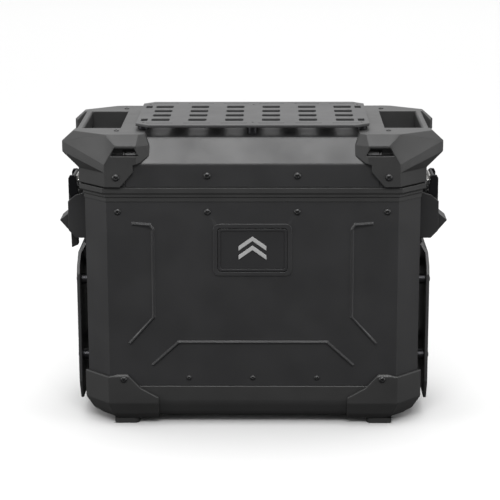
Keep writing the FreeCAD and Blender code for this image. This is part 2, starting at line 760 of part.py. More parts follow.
def end_front_block():
    """Faceted block beside the lid's sloped face, with its strap slot and cut-back foot."""
    low = LID_BOTTOM
    points = [
        (END_EDGE_X, -END_EDGE_Y, END_TOP), (END_EDGE_X, -END_EDGE_LOW_Y, END_EDGE_BEND),
        (END_EDGE_X, -END_EDGE_LOW_Y, low), (179, -113, END_TOP), (174, -END_FRONT, 377),
        (174, -END_FRONT, low), (145, -112, END_TOP), (148, -END_FRONT, 377), (148, -END_FRONT, low),
        (END_INNER_X, -106, END_TOP), (131.5, -110, 377), (131.5, -110, low),
        (END_EDGE_X, -90, END_TOP), (END_INNER_X, -90, END_TOP), (131.5, -90, 377),
        (131.5, -90, low), (END_EDGE_X, -90, low),
    ]
    foot = [
        (169, 320), (169, low), (152, 343), (152, 352), (143, 354.5), (131, 363),
        (120, 363), (120, 320),
    ]
    slot = [
        (SLOT_LEFT + SLOT_SLANT, SLOT_HIGH), (SLOT_LEFT, SLOT_LOW),
        (SLOT_RIGHT, SLOT_LOW), (SLOT_RIGHT - SLOT_SLANT, SLOT_HIGH),
    ]
    made = hull(points).cut(prism_y(foot, -130, -80))
    return made.cut(prism_y(slot, -130, SLOT_DEPTH - END_FRONT))


def end_corner_block():
    """Faceted corner bulge beside the handle, on a straight foot."""
    low = LID_BOTTOM
    waist = LID_SHOULDER
    bulge = [
        (END_EDGE_X, -END_EDGE_Y, END_TOP), (END_EDGE_X, -END_EDGE_LOW_Y, END_EDGE_BEND),
        (END_EDGE_X, 0.5 - END_EDGE_LOW_Y, waist), (SKIRT_OUT, -81, waist), (SKIRT_OUT, -HAND_HALF, waist),
        (231, -82, END_TOP), (END_OUT, -84, 378), (END_OUT, -84, 364),
        (BAR_OUT, -HAND_HALF, END_TOP), (241, -HAND_HALF, 379), (241, -HAND_HALF, 366),
        (HAND_IN, -HAND_HALF, END_TOP), (HAND_IN, -90, END_TOP),
        (HAND_IN, -HAND_HALF, waist), (HAND_IN, -90, waist),
    ]
    foot = [
        (HAND_IN, -90), (END_EDGE_X, 0.5 - END_EDGE_LOW_Y), (SKIRT_OUT, -81),
        (SKIRT_OUT, -HAND_HALF), (HAND_IN, -HAND_HALF),
    ]
    return fuse([hull(bulge), prism(foot, low, waist)])


def lid_end():
    """Right-hand end moulding: two corner blocks, a rail, the handle bar and a skirt."""
    front = [end_front_block(), end_corner_block()]
    back = [mirrored(shape, Y_AXIS) for shape in front]
    bar = [
        (HAND_OUT, 372), (222, BAR_BOTTOM), (227, BAR_BOTTOM), (BAR_OUT, 372), (BAR_OUT, 387),
        (227, END_TOP), (221.5, END_TOP), (HAND_OUT, 388.5),
    ]
    middle = [
        block((END_INNER_X, -92, LID_TOP), (HAND_IN, 92, END_TOP)),
        block((LID_HALF_BOX, -92, LID_SHOULDER), (HAND_IN, 92, END_TOP)),
        prism_y(bar, -HAND_HALF - 4, HAND_HALF + 4),
        block((HALF_WIDTH, -81, LID_BOTTOM), (SKIRT_OUT, 81, LID_SHOULDER)),
    ]
    end = fuse(front + back + middle).cut(lid_outside(0, 0))
    seats = [(HANDLE_SCREW[0], s * HANDLE_SCREW[1], END_TOP) for s in (-1, 1)]
    holes = CORNER_BOLTS[1] + bolts(seats, (0, 0, 1), *HANDLE_SCREW_SIZE)[1] + plate_bolts()[1]
    return end.cut(group(holes))


def handle_screws():
    """Screws in the tops of the end mouldings."""
    x, y = HANDLE_SCREW
    seats = [(sx * x, sy * y, END_TOP) for sx in (-1, 1) for sy in (-1, 1)]
    return group(bolts(seats, (0, 0, 1), *HANDLE_SCREW_SIZE)[0])


def cargo_plate():
    """Flat luggage plate with its grid of strap slots."""
    x, y = PLATE_HALF_X, PLATE_HALF_Y
    edge = [
        (x - 17, -y), (x, 14 - y), (x, y - 14), (x - 14, y), (14 - x, y), (-x, y - 14),
        (-x, 14 - y), (17 - x, -y),
    ]
    low = PLATE_TOP - PLATE_THICK
    plate = prism(edge, low, PLATE_TOP)
    openings = []
    for column in range(COLUMNS):
        cx = (column - (COLUMNS - 1) / 2) * COLUMN_PITCH
        for row in range(ROWS):
            cy = (row - (ROWS - 1) / 2) * ROW_PITCH
            openings.append(plate_slot(cx, cy, STRAP_SLOT_X / 2, STRAP_SLOT_Y / 2))
        for side in (-1, 1):
            openings.append(plate_slot(cx, side * SLIT_Y, *SLIT_HALF))
    for sx in (-1, 1):
        for sy in (-1, 1):
            openings.append(plate_slot(sx * POST_X, sy * END_SLOT_Y, END_SLOT_HALF_X, STRAP_SLOT_Y / 2))
    return plate.cut(group(openings)).cut(group(plate_bolts()[1]))


def plate_slot(cx, cy, half_x, half_y):
    """Cutter for one slot of the cargo plate, with small corner cuts."""
    cut = min(half_x, half_y) * 0.25
    ring = [(cx + px, cy + py) for px, py in outline(half_x, half_y, cut)]
    return prism(ring, PLATE_TOP - PLATE_THICK - 1, PLATE_TOP + 1)


def plate_posts():
    """Short posts between the lid and the cargo plate."""
    posts = []
    for x, y, base in POSTS:
        start, end = (x, y, base), (x, y, PLATE_TOP - PLATE_THICK)
        posts.append(rod(POST_RADIUS, start, end).cut(rod(POST_BORE, start, end)))
    return group(posts)


def plate_bolts():
    """Countersunk screws through the cargo plate and its posts into the lid, flush with the plate."""
    radius, grip = PLATE_BOLT
    shank = radius * SHANK
    made, holes = [], []
    for x, y, base in POSTS:
        foot = V(x, y, PLATE_TOP - PLATE_BOLT_SINK)
        head = Part.makeCone(shank, radius, PLATE_BOLT_SINK, foot, Z_AXIS)
        pin = Part.makeCylinder(shank, grip, V(x, y, PLATE_TOP - grip), Z_AXIS)
        key = prism(hexagon(x, y, radius * SOCKET), PLATE_TOP - SOCKET_DEPTH * PLATE_BOLT_SINK, PLATE_TOP + 1)
        made.append(head.fuse(pin).removeSplitter().cut(key))
        sink = Part.makeCone(
            shank + HOLE_CLEARANCE, radius + HOLE_CLEARANCE, PLATE_BOLT_SINK, foot, Z_AXIS
        )
        bore = Part.makeCylinder(shank + HOLE_CLEARANCE, grip + 1, V(x, y, PLATE_TOP - grip - 0.3), Z_AXIS)
        holes.append(sink.fuse(bore))
    return made, holes


def hexagon(x, y, radius):
    """Six corners about a place in X and Y."""
    angles = [math.radians(60 * k) for k in range(6)]
    return [(x + radius * math.cos(a), y + radius * math.sin(a)) for a in angles]


def assembly():
    """Every part by name."""
    parts = {
        "case_shell": case_shell(),
        "case_rim": case_rim(),
        "base_tray": base_tray(),
        "rubber_feet": group(quarters(rubber_foot()).values()),
        "rim_bolts": group(RIM_BOLTS[0]),
        "base_rivets": group(RIVETS[0]),
        "guard_bolts": group(GUARD_BOLTS[0]),
        "badge_frame": badge_frame(),
        "badge_plate": badge_plate(),
        "badge_emblem": badge_emblem(),
        "side_plate_standoffs": side_plate_standoffs(),
        "side_plate_bolts": group(SIDE_PLATE_BOLTS[0]),
        "latch_screws": group(LATCH_SCREWS[0]),
        "pull_tab": pull_tab(),
        "rack_lock_housing": rack_lock_housing(),
        "rack_lock_knob": rack_lock_knob(),
        "rack_lock_cam": rack_lock_cam(),
        "rack_bolts": group(rack_bolts()[0]),
        "lid_shell": lid_shell(),
        "lid_gasket": lid_gasket(),
        "lid_bolts": group(LID_BOLTS[0]),
        "lid_corner_bolts": group(CORNER_BOLTS[0]),
        "handle_screws": handle_screws(),
        "cargo_plate": cargo_plate(),
        "plate_posts": plate_posts(),
        "plate_bolts": group(plate_bolts()[0]),
    }
    for name, guard in quarters(corner_guard()).items():
        parts["corner_guard_" + name] = guard
    paired = {
        "side_plate": side_plate(),
        "latch_base": latch_base(),
        "latch_lever": latch_lever(),
        "lever_pin": lever_pin(),
        "hook_pins": hook_pins(),
        "latch_hook": latch_hook(),
        "lock_cylinder": lock_cylinder(),
        "keeper": keeper(),
        "lid_end": lid_end(),
        "lid_end_wall": lid_end_wall(),
        "lid_shelf": lid_shelf(),
    }
    for level, height in RACK_HOOK_HEIGHTS.items():
        paired["rack_hook_" + level] = rack_hook(height)
    for name, shape in paired.items():
        parts[name + "_right"] = shape
        parts[name + "_left"] = mirrored(shape, X_AXIS)
    return parts


def main():
    """Build the parts, centre them on their common box and write one file each."""
    os.makedirs("parts", exist_ok=True)
    parts = assembly()
    box = Part.makeCompound(list(parts.values())).BoundBox
    shift = V(0, -box.Center.y, -box.ZMin)
    print("moved by", shift, "box", box)
    for name, shape in parts.items():
        placed = shape.translated(shift)
        if not placed.isValid() or placed.Volume <= 0:
            print("check", name)
        placed.exportStep("parts/" + name + ".step")
    print(len(parts), "parts")


main()
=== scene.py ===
import json
import logging
import math
from dataclasses import dataclass
from enum import Enum
from typing import Any

import bmesh
import bpy
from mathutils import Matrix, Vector

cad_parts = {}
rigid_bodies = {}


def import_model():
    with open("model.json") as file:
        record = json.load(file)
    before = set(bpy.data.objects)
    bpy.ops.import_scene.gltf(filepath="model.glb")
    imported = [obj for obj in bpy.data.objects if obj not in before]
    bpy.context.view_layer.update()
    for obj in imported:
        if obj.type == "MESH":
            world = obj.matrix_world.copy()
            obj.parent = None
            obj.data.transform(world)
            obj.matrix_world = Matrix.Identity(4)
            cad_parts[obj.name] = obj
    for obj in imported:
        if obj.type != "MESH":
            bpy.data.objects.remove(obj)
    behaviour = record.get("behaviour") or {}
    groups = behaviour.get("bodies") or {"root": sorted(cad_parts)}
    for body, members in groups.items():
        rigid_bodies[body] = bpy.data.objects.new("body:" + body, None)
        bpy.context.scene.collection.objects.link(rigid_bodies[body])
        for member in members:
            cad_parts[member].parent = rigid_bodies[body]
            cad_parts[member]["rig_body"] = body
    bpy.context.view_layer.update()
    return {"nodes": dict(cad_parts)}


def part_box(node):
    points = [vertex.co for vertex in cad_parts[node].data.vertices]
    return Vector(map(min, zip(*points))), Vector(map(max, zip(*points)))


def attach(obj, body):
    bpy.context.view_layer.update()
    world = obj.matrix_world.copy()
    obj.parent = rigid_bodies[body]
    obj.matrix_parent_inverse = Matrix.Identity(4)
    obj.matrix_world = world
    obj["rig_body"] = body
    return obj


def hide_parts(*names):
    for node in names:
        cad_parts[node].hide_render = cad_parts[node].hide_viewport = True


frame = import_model()

MM = 0.001
# Vertices nearer to each other than this, in metres, are joined.
WELD = 2e-6
# Lines between faces that turn less than this, in radians, are cleared.
FLAT = math.radians(0.6)
# Edges that turn more than this, in degrees, stay crisp: on most pieces, on those whose facets
# meet at shallow angles, and on the badge.
CREASE_DEG = 38.0
FACET_CREASE_DEG = 7.0
BADGE_CREASE_DEG = 20.0
# Only edges that turn more than this, in degrees, are rounded: on most pieces, on the faceted
# mouldings, and on the corner guards.
TURN_DEG = 24.0
MOULDING_TURN_DEG = 14.0
GUARD_TURN_DEG = 12.0
# The share of a narrow face or a short edge that a rounding may take, and the smallest share of
# its full reach at which it is still made.
ROOM = 0.4
SMALLEST_SHARE = 0.12
CASE_LOW, CASE_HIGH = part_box("case_shell")
CASE_MIDDLE = (CASE_LOW + CASE_HIGH) / 2

log = logging.getLogger("side_case")


# ---- small helpers ----


def linear(hex_colour: str) -> tuple[float, float, float, float]:
    """Turns an sRGB hex colour into the linear one that shaders take.

    Args:
        hex_colour: Six hex digits after a #.

    Returns:
        Red, green, blue and an alpha of 1.
    """
    parts = [int(hex_colour[i:i + 2], 16) / 255 for i in (1, 3, 5)]
    red, green, blue = [p / 12.92 if p <= 0.04045 else ((p + 0.055) / 1.055) ** 2.4 for p in parts]
    return red, green, blue, 1.0


def add_node(tree: bpy.types.NodeTree, kind: str, inputs: dict[Any, Any] | None = None,
             **settings: Any) -> bpy.types.Node:
    """Adds a node with its settings, values and links.

    Args:
        tree: The tree that takes the node.
        kind: The node's Blender type.
        inputs: What goes into each input, by its name or number: a value, an output socket, or
            a list of output sockets where the input takes several.
        **settings: The node's own properties.

    Returns:
        The new node.
    """
    node = tree.nodes.new(kind)
    for name, value in settings.items():
        setattr(node, name, value)
    for key, value in (inputs or {}).items():
        socket = node.inputs[key]
        for item in value if isinstance(value, list) else [value]:
            if isinstance(item, bpy.types.NodeSocket):
                tree.links.new(item, socket)
            else:
                socket.default_value = item
    return node


def plain_mesh(thing: bpy.types.Object) -> bpy.types.Mesh:
    """Turns an object with its modifiers into one plain mesh.

    Args:
        thing: The object to read. It is removed afterwards.

    Returns:
        The mesh as its modifiers leave it.
    """
    graph = bpy.context.evaluated_depsgraph_get()
    mesh = bpy.data.meshes.new_from_object(thing.evaluated_get(graph), depsgraph=graph)
    bpy.data.objects.remove(thing)
    return mesh


def linked(name: str, mesh: bpy.types.Mesh) -> bpy.types.Object:
    """Puts a mesh in the scene as an object at the origin.

    Args:
        name: The object's name.
        mesh: Its mesh.

    Returns:
        The new object.
    """
    thing = bpy.data.objects.new(name, mesh)
    bpy.context.scene.collection.objects.link(thing)
    return thing


# ---- finishes ----

# Colour and roughness wander over patches of this size.
PATCH_MM = 55.0
PATCH_DETAIL = 4.0
RELIEF_DETAIL = 3.0
NOISE_ROUGHNESS = 0.55
# The noise's usual lowest and highest value.
NOISE_LOW, NOISE_HIGH = 0.3, 0.7
EDGE_SAMPLES = 4
# How alike a surface and its rounded edge face where the painted edge highlight begins, and where it is
# full.
EDGE_HIGHLIGHT_BEGINS, EDGE_HIGHLIGHT_FULL = 0.99, 0.88


class Relief(Enum):
    """How a finish's fine relief runs."""

    EVEN = (1.0, 1.0, 1.0)
    BRUSHED = (0.02, 1.0, 1.0)


@dataclass(frozen=True)
class Finish:
    """One real finish and the shader that shows it.

    Attributes:
        name: What a maker would call it.
        colour: Its colour where nothing has touched it.
        painted_edge_highlight: Its lighter colour along edges, a painted highlight where edges catch the
            light.
        roughness: Typical roughness.
        wander: How far the roughness wanders either way.
        relief: How the fine relief runs.
        relief_mm: The size of one bump or scratch.
        depth_mm: How deep the relief is.
        metallic: 1 for bare metal.
        mottle: The share by which the colour varies over the piece.
        edge_highlight_share: How much of the painted edge highlight an edge takes.
        edge_mm: The radius over which an edge catches the light.
    """

    name: str
    colour: str
    painted_edge_highlight: str
    roughness: float
    wander: float
    relief: Relief
    relief_mm: float
    depth_mm: float
    metallic: float = 0.0
    mottle: float = 0.14
    edge_highlight_share: float = 0.45
    edge_mm: float = 0.9

    def material(self) -> bpy.types.Material:
        """Builds the material once, and gives the same one again after that."""
        made = bpy.data.materials.get(self.name)
        if made:
            return made
        made = bpy.data.materials.new(self.name)
        made.use_nodes = True
        tree = made.node_tree
        shader = tree.nodes["Principled BSDF"]
        shader.inputs["Metallic"].default_value = self.metallic
        place = add_node(tree, "ShaderNodeTexCoord").outputs["Object"]
        along = add_node(tree, "ShaderNodeMapping", {"Vector": place, "Scale": self.relief.value})
        fine = self.noise(tree, along.outputs["Vector"], self.relief_mm, RELIEF_DETAIL)
        broad = self.noise(tree, place, PATCH_MM, PATCH_DETAIL)
        edge = add_node(tree, "ShaderNodeBevel", {"Radius": self.edge_mm * MM}, samples=EDGE_SAMPLES)
        colour = self.tint(tree, broad, fine, edge.outputs["Normal"])
        tree.links.new(colour, shader.inputs["Base Color"])
        rough = add_node(tree, "ShaderNodeMapRange", {
            "Value": broad, "From Min": NOISE_LOW, "From Max": NOISE_HIGH,
            "To Min": self.roughness - self.wander, "To Max": self.roughness + self.wander,
        })
        tree.links.new(rough.outputs["Result"], shader.inputs["Roughness"])
        bump = add_node(tree, "ShaderNodeBump", {
            "Strength": 1.0, "Distance": self.depth_mm * MM, "Height": fine,
            "Normal": edge.outputs["Normal"],
        })
        tree.links.new(bump.outputs["Normal"], shader.inputs["Normal"])
        return made

    def noise(self, tree: bpy.types.NodeTree, place: bpy.types.NodeSocket, size_mm: float,
              detail: float) -> bpy.types.NodeSocket:
        """Adds noise of a real size.

        Args:
            tree: The material's tree.
            place: Where it is read.
            size_mm: The size of one patch.
            detail: How many finer layers it has.

        Returns:
            The noise, from 0 to 1.
        """
        found = add_node(tree, "ShaderNodeTexNoise", {
            "Vector": place, "Scale": 1 / (size_mm * MM), "Detail": detail,
            "Roughness": NOISE_ROUGHNESS,
        })
        return found.outputs["Fac"]

    def tint(self, tree: bpy.types.NodeTree, broad: bpy.types.NodeSocket,
             fine: bpy.types.NodeSocket, normal: bpy.types.NodeSocket) -> bpy.types.NodeSocket:
        """Mixes the clean colour, its slow variation and the painted highlight along edges.

        Args:
            tree: The material's tree.
            broad: Slow noise over the piece.
            fine: Fine noise at the size of the relief.
            normal: The normal as rounded edges would have it.

        Returns:
            The colour.
        """
        clean = Vector(linear(self.colour)[:3])
        low, high = clean * (1 - self.mottle), clean * (1 + self.mottle)
        base = add_node(tree, "ShaderNodeMix", {0: broad, 6: (*low, 1.0), 7: (*high, 1.0)},
                        data_type="RGBA")
        true_normal = add_node(tree, "ShaderNodeNewGeometry").outputs["Normal"]
        likeness = add_node(tree, "ShaderNodeVectorMath", {0: normal, 1: true_normal},
                            operation="DOT_PRODUCT")
        # Painted highlight: along edges, where the rounded normal turns from the true one, the colour is
        # lightened.
        edge = add_node(tree, "ShaderNodeMapRange", {
            "Value": likeness.outputs["Value"], "From Min": EDGE_HIGHLIGHT_BEGINS, "From Max": EDGE_HIGHLIGHT_FULL,
            "To Min": 0.0, "To Max": self.edge_highlight_share,
        })
        patchy_highlight = add_node(tree, "ShaderNodeMath", {0: edge.outputs["Result"], 1: fine},
                          operation="MULTIPLY")
        mixed = add_node(tree, "ShaderNodeMix", {
            0: patchy_highlight.outputs["Value"], 6: base.outputs[2], 7: linear(self.painted_edge_highlight),
        }, data_type="RGBA")
        return mixed.outputs[2]


# Each finish's second colour is the lighter painted highlight along its edges.
# Sprayed polyester powder on aluminium: satin, in low soft waves a few millimetres across.
SHELL_POWDER = Finish("powder_coated_aluminium", "#1c1c1d", "#464647", 0.43, 0.05, Relief.EVEN,
                      2.4, 0.035)
# The same powder on the flat plate, a little greyer, with a stronger painted highlight along its edges.
PLATE_POWDER = Finish("powder_coated_plate", "#262627", "#5c5c5c", 0.50, 0.06, Relief.EVEN, 1.9, 0.045,
                      mottle=0.2, edge_highlight_share=0.7)
# Glass-filled nylon from a spark-eroded mould. The real grain is near 0.3 mm, drawn at 0.9 to show.
MOULDED_NYLON = Finish("moulded_nylon", "#1f1f1f", "#464646", 0.49, 0.06, Relief.EVEN, 0.9, 0.05)
# Smoother nylon of the latches, which fingers have polished.
LATCH_NYLON = Finish("latch_nylon", "#1d1d1e", "#474748", 0.45, 0.06, Relief.EVEN, 1.1, 0.03)
# Matt rubber with a dull bloom.
BLACK_RUBBER = Finish("black_rubber", "#161616", "#2c2c2c", 0.78, 0.07, Relief.EVEN, 1.4, 0.06,
                      mottle=0.25)
# Black-oxide steel: near black, a little oily.
BLACK_OXIDE = Finish("black_oxide_steel", "#0c0c0d", "#3a3a3c", 0.36, 0.06, Relief.EVEN, 1.0, 0.01)
# Satin black badge carrier.
BADGE_SATIN = Finish("badge_satin_black", "#1c1c1d", "#3c3c3d", 0.34, 0.05, Relief.EVEN, 0.7, 0.01)
# Pale grey moulded emblem.
PALE_EMBLEM = Finish("pale_grey_emblem", "#8e8e8e", "#a4a4a4", 0.42, 0.05, Relief.EVEN, 0.8, 0.01,
                     mottle=0.05, edge_highlight_share=0.2)
# Dark anodised spacer tubes, drawn and then dyed.
DARK_ANODISED = Finish("dark_anodised_aluminium", "#3a3a3c", "#6a6a6c", 0.40, 0.06, Relief.BRUSHED,
                       0.8, 0.01, metallic=1.0)
# Polished stainless steel with fine marks from the press.
STAINLESS = Finish("polished_stainless_steel", "#c9c8c5", "#e2e1de", 0.20, 0.05, Relief.BRUSHED,
                   0.5, 0.008, metallic=1.0, mottle=0.05, edge_highlight_share=0.2)
# Black zinc plate: dark metal with a soft shine.
BLACK_ZINC = Finish("black_zinc_steel", "#2b2b2d", "#5d5d5f", 0.38, 0.07, Relief.EVEN, 1.6, 0.01,
                    metallic=1.0, mottle=0.2)


# ---- pieces made from the frame's own shapes ----


def welded(node: str, clear_flats: bool = True) -> bmesh.types.BMesh:
    """Copies a node's mesh and joins its loose triangles.

    Args:
        node: The node's name.
        clear_flats: Whether the lines across its flats are cleared too.

    Returns:
        The joined copy. The node's own mesh stays as it is.
    """
    shape = bmesh.new()
    shape.from_mesh(frame["nodes"][node].data)
    bmesh.ops.remove_doubles(shape, verts=shape.verts, dist=WELD)
    if clear_flats:
        bmesh.ops.dissolve_limit(shape, angle_limit=FLAT, verts=shape.verts, edges=shape.edges)
    return shape


def hand_over(thing: bpy.types.Object, node: str) -> None:
    """Makes a piece stand for a node: on its body and in its place.

    Args:
        thing: The finished piece.
        node: The node that it stands for.
    """
    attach(thing, frame["nodes"][node]["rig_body"])
    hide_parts(node)
    log.info("%s stands for %s, %d faces", thing.name, node, len(thing.data.polygons))


def rounded(node: str, finish: Finish, radius_mm: float, segments: int = 3,
            turn_deg: float = TURN_DEG, crease_deg: float = CREASE_DEG) -> None:
    """Makes a node's finished piece, with its long edges rounded as the real part's are.

    Args:
        node: The node that the piece stands for.
        finish: Its finish.
        radius_mm: How far the rounding reaches from each edge. At 0 the edges stay as they are.
        segments: How many faces each rounding has.
        turn_deg: Only edges that turn more than this are rounded.
        crease_deg: Edges that turn more than this stay crisp.
    """
    shape = welded(node, clear_flats=radius_mm > 0)
    width = radius_mm * MM
    weight = shape.edges.layers.float.new("bevel_weight_edge")
    for edge in shape.edges:
        edge[weight] = rounding_share(edge, width, math.radians(turn_deg)) if width else 0.0
    draft = linked(node + "_draft", as_mesh(shape, node + "_draft"))
    if radius_mm > 0:
        bevel = draft.modifiers.new("rounding", "BEVEL")
        bevel.width, bevel.segments = width, segments
        bevel.limit_method = "WEIGHT"
        bevel.use_clamp_overlap = False
    mesh = plain_mesh(draft)
    mesh.shade_smooth()
    mesh.set_sharp_from_angle(angle=math.radians(crease_deg))
    draft = linked(node + "_draft", mesh)
    draft.modifiers.new("even_normals", "WEIGHTED_NORMAL").keep_sharp = True
    made = plain_mesh(draft)
    made.materials.clear()
    made.materials.append(finish.material())
    hand_over(linked(node + "_finished", made), node)


def as_mesh(shape: bmesh.types.BMesh, name: str) -> bpy.types.Mesh:
    """Turns a working copy into a mesh and frees the copy.

    Args:
        shape: The working copy.
        name: The mesh's name.

    Returns:
        The mesh.
    """
    mesh = bpy.data.meshes.new(name)
    shape.to_mesh(mesh)
    shape.free()
    return mesh


def rounding_share(edge: bmesh.types.BMEdge, width: float, turn: float) -> float:
    """Finds how much of a rounding has room on an edge.

    Args:
        edge: The edge.
        width: The full rounding's reach.
        turn: Only edges that turn more than this, in radians, are rounded.

    Returns:
        From 0, for an edge that stays sharp, to 1.
    """
    if len(edge.link_faces) != 2 or edge.calc_face_angle(0.0) < turn:
        return 0.0
    breadths = [
        face.calc_area() / max(side.calc_length() for side in face.edges) for face in edge.link_faces
    ]
    share = min(1.0, ROOM * min(breadths) / width, ROOM * edge.calc_length() / width)
    return share if share > SMALLEST_SHARE else 0.0


def dress(node: str, finish: Finish) -> None:
    """Gives a node whose shape stays its finish.

    Args:
        node: The node's name.
        finish: Its finish.
    """
    thing = frame["nodes"][node]
    if not thing.material_slots:
        thing.data.materials.append(finish.material())
    for place in thing.material_slots:
        place.material = finish.material()
    log.info("%s keeps its shape and takes %s", node, finish.name)


# ---- fasteners ----


class Axis(Enum):
    """The direction a group of fasteners is driven along."""

    X = 0
    Y = 1
    Z = 2


def islands(node: str) -> list[tuple[Vector, Vector]]:
    """Finds the separate solids of a node.

    Args:
        node: The node's name.

    Returns:
        Each solid's lowest and highest corner.
    """
    shape = welded(node)
    waiting = set(shape.verts)
    found = []
    while waiting:
        stack = [waiting.pop()]
        points = []
        while stack:
            vertex = stack.pop()
            points.append(vertex.co.copy())
            for edge in vertex.link_edges:
                other = edge.other_vert(vertex)
                if other in waiting:
                    waiting.remove(other)
                    stack.append(other)
        low = Vector([min(p[i] for p in points) for i in range(3)])
        high = Vector([max(p[i] for p in points) for i in range(3)])
        found.append((low, high))
    shape.free()
    return sorted(found, key=lambda pair: tuple(pair[0]))


@dataclass
class HeadTree:
    """Geometry Nodes tree that sets a domed head with its socket and shank on every seat.

    Attributes:
        name: The tree's name.
        around: How many faces go round a head.
        rings: How many rings a whole ball has.
        shank_sides: How many sides a shank has.
        cutter: The side of the block that takes the ball's lower half off, in head radii.
        seed: What the heads' turns are drawn from.
    """

    name: str = "domed_fasteners"
    around: int = 28
    rings: int = 14
    shank_sides: int = 14
    cutter: float = 4.0
    seed: int = 7

    def build(self) -> bpy.types.NodeTree:
        """Builds the tree with its named inputs."""
        tree = bpy.data.node_groups.new(self.name, "GeometryNodeTree")
        tree.interface.new_socket("Seats", in_out="INPUT", socket_type="NodeSocketGeometry")
        for name in ("Head Radius", "Head Height", "Shank Radius", "Grip", "Socket Radius",
                     "Socket Depth"):
            tree.interface.new_socket(name, in_out="INPUT", socket_type="NodeSocketFloat")
        tree.interface.new_socket("Socket Sides", in_out="INPUT", socket_type="NodeSocketInt")
        tree.interface.new_socket("Finish", in_out="INPUT", socket_type="NodeSocketMaterial")
        tree.interface.new_socket("Fasteners", in_out="OUTPUT", socket_type="NodeSocketGeometry")
        given = add_node(tree, "NodeGroupInput").outputs
        one = self.shade(tree, self.one_fastener(tree, given))
        out = add_node(tree, "GeometryNodeInputNamedAttribute", {"Name": "out"},
                       data_type="FLOAT_VECTOR")
        aim = add_node(tree, "FunctionNodeAlignRotationToVector", {"Vector": out.outputs[0]}, axis="Z")
        placed = add_node(tree, "GeometryNodeInstanceOnPoints", {
            "Points": given["Seats"], "Instance": one, "Rotation": aim.outputs[0],
        })
        angle = add_node(tree, "FunctionNodeRandomValue", {2: 0.0, 3: math.tau, "Seed": self.seed},
                         data_type="FLOAT")
        turn = add_node(tree, "ShaderNodeCombineXYZ", {"Z": angle.outputs[1]})
        spun = add_node(tree, "GeometryNodeRotateInstances", {
            "Instances": placed.outputs[0], "Rotation": turn.outputs[0], "Local Space": True,
        })
        real = add_node(tree, "GeometryNodeRealizeInstances", {"Geometry": spun.outputs[0]})
        coated = add_node(tree, "GeometryNodeSetMaterial", {
            "Geometry": real.outputs[0], "Material": given["Finish"],
        })
        add_node(tree, "NodeGroupOutput", {"Fasteners": coated.outputs[0]})
        return tree

    def one_fastener(self, tree: bpy.types.NodeTree, given: Any) -> bpy.types.NodeSocket:
        """Makes one fastener with its seat at the origin and its head along +Z.

        Args:
            tree: The tree being built.
            given: The tree's inputs by name.

        Returns:
            The fastener's geometry.
        """
        radius, height, grip = given["Head Radius"], given["Head Height"], given["Grip"]
        ball = add_node(tree, "GeometryNodeMeshUVSphere", {
            "Segments": self.around, "Rings": self.rings, "Radius": 1.0,
        })
        girth = add_node(tree, "ShaderNodeCombineXYZ", {"X": radius, "Y": radius, "Z": height})
        dome = add_node(tree, "GeometryNodeTransform", {
            "Geometry": ball.outputs["Mesh"], "Scale": girth.outputs[0],
        })
        wide = add_node(tree, "ShaderNodeMath", {0: radius, 1: self.cutter}, operation="MULTIPLY")
        down = add_node(tree, "ShaderNodeMath", {0: radius, 1: -self.cutter / 2},
                        operation="MULTIPLY")
        size = add_node(tree, "ShaderNodeCombineXYZ", {
            "X": wide.outputs[0], "Y": wide.outputs[0], "Z": wide.outputs[0],
        })
        below = add_node(tree, "GeometryNodeTransform", {
            "Geometry": add_node(tree, "GeometryNodeMeshCube", {"Size": size.outputs[0]}).outputs["Mesh"],
            "Translation": add_node(tree, "ShaderNodeCombineXYZ", {"Z": down.outputs[0]}).outputs[0],
        })
        tall = add_node(tree, "ShaderNodeMath", {0: given["Socket Depth"], 1: 2.0}, operation="MULTIPLY")
        key = add_node(tree, "GeometryNodeMeshCylinder", {
            "Vertices": given["Socket Sides"], "Radius": given["Socket Radius"], "Depth": tall.outputs[0],
        })
        socket = add_node(tree, "GeometryNodeTransform", {
            "Geometry": key.outputs["Mesh"],
            "Translation": add_node(tree, "ShaderNodeCombineXYZ", {"Z": height}).outputs[0],
        })
        head = add_node(tree, "GeometryNodeMeshBoolean", {
            "Mesh 1": dome.outputs[0], "Mesh 2": [below.outputs[0], socket.outputs[0]],
        }, operation="DIFFERENCE")
        half = add_node(tree, "ShaderNodeMath", {0: grip, 1: -0.5}, operation="MULTIPLY")
        pin = add_node(tree, "GeometryNodeMeshCylinder", {
            "Vertices": self.shank_sides, "Radius": given["Shank Radius"], "Depth": grip,
        })
        shank = add_node(tree, "GeometryNodeTransform", {
            "Geometry": pin.outputs["Mesh"],
            "Translation": add_node(tree, "ShaderNodeCombineXYZ", {"Z": half.outputs[0]}).outputs[0],
        })
        joined = add_node(tree, "GeometryNodeJoinGeometry", {0: [head.outputs[0], shank.outputs[0]]})
        return joined.outputs[0]

    def shade(self, tree: bpy.types.NodeTree, shape: bpy.types.NodeSocket) -> bpy.types.NodeSocket:
        """Smooths the dome and keeps the socket's edges crisp.

        Args:
            tree: The tree being built.
            shape: The geometry to shade.

        Returns:
            The shaded geometry.
        """
        soft = add_node(tree, "GeometryNodeSetShadeSmooth", {0: shape}, domain="FACE")
        bend = add_node(tree, "GeometryNodeInputMeshEdgeAngle")
        gentle = add_node(tree, "FunctionNodeCompare", {0: bend.outputs[0], 1: math.radians(CREASE_DEG)},
                          data_type="FLOAT", operation="LESS_THAN")
        crisp = add_node(tree, "GeometryNodeSetShadeSmooth", {
            0: soft.outputs[0], "Shade Smooth": gentle.outputs[0],
        }, domain="EDGE")
        return crisp.outputs[0]


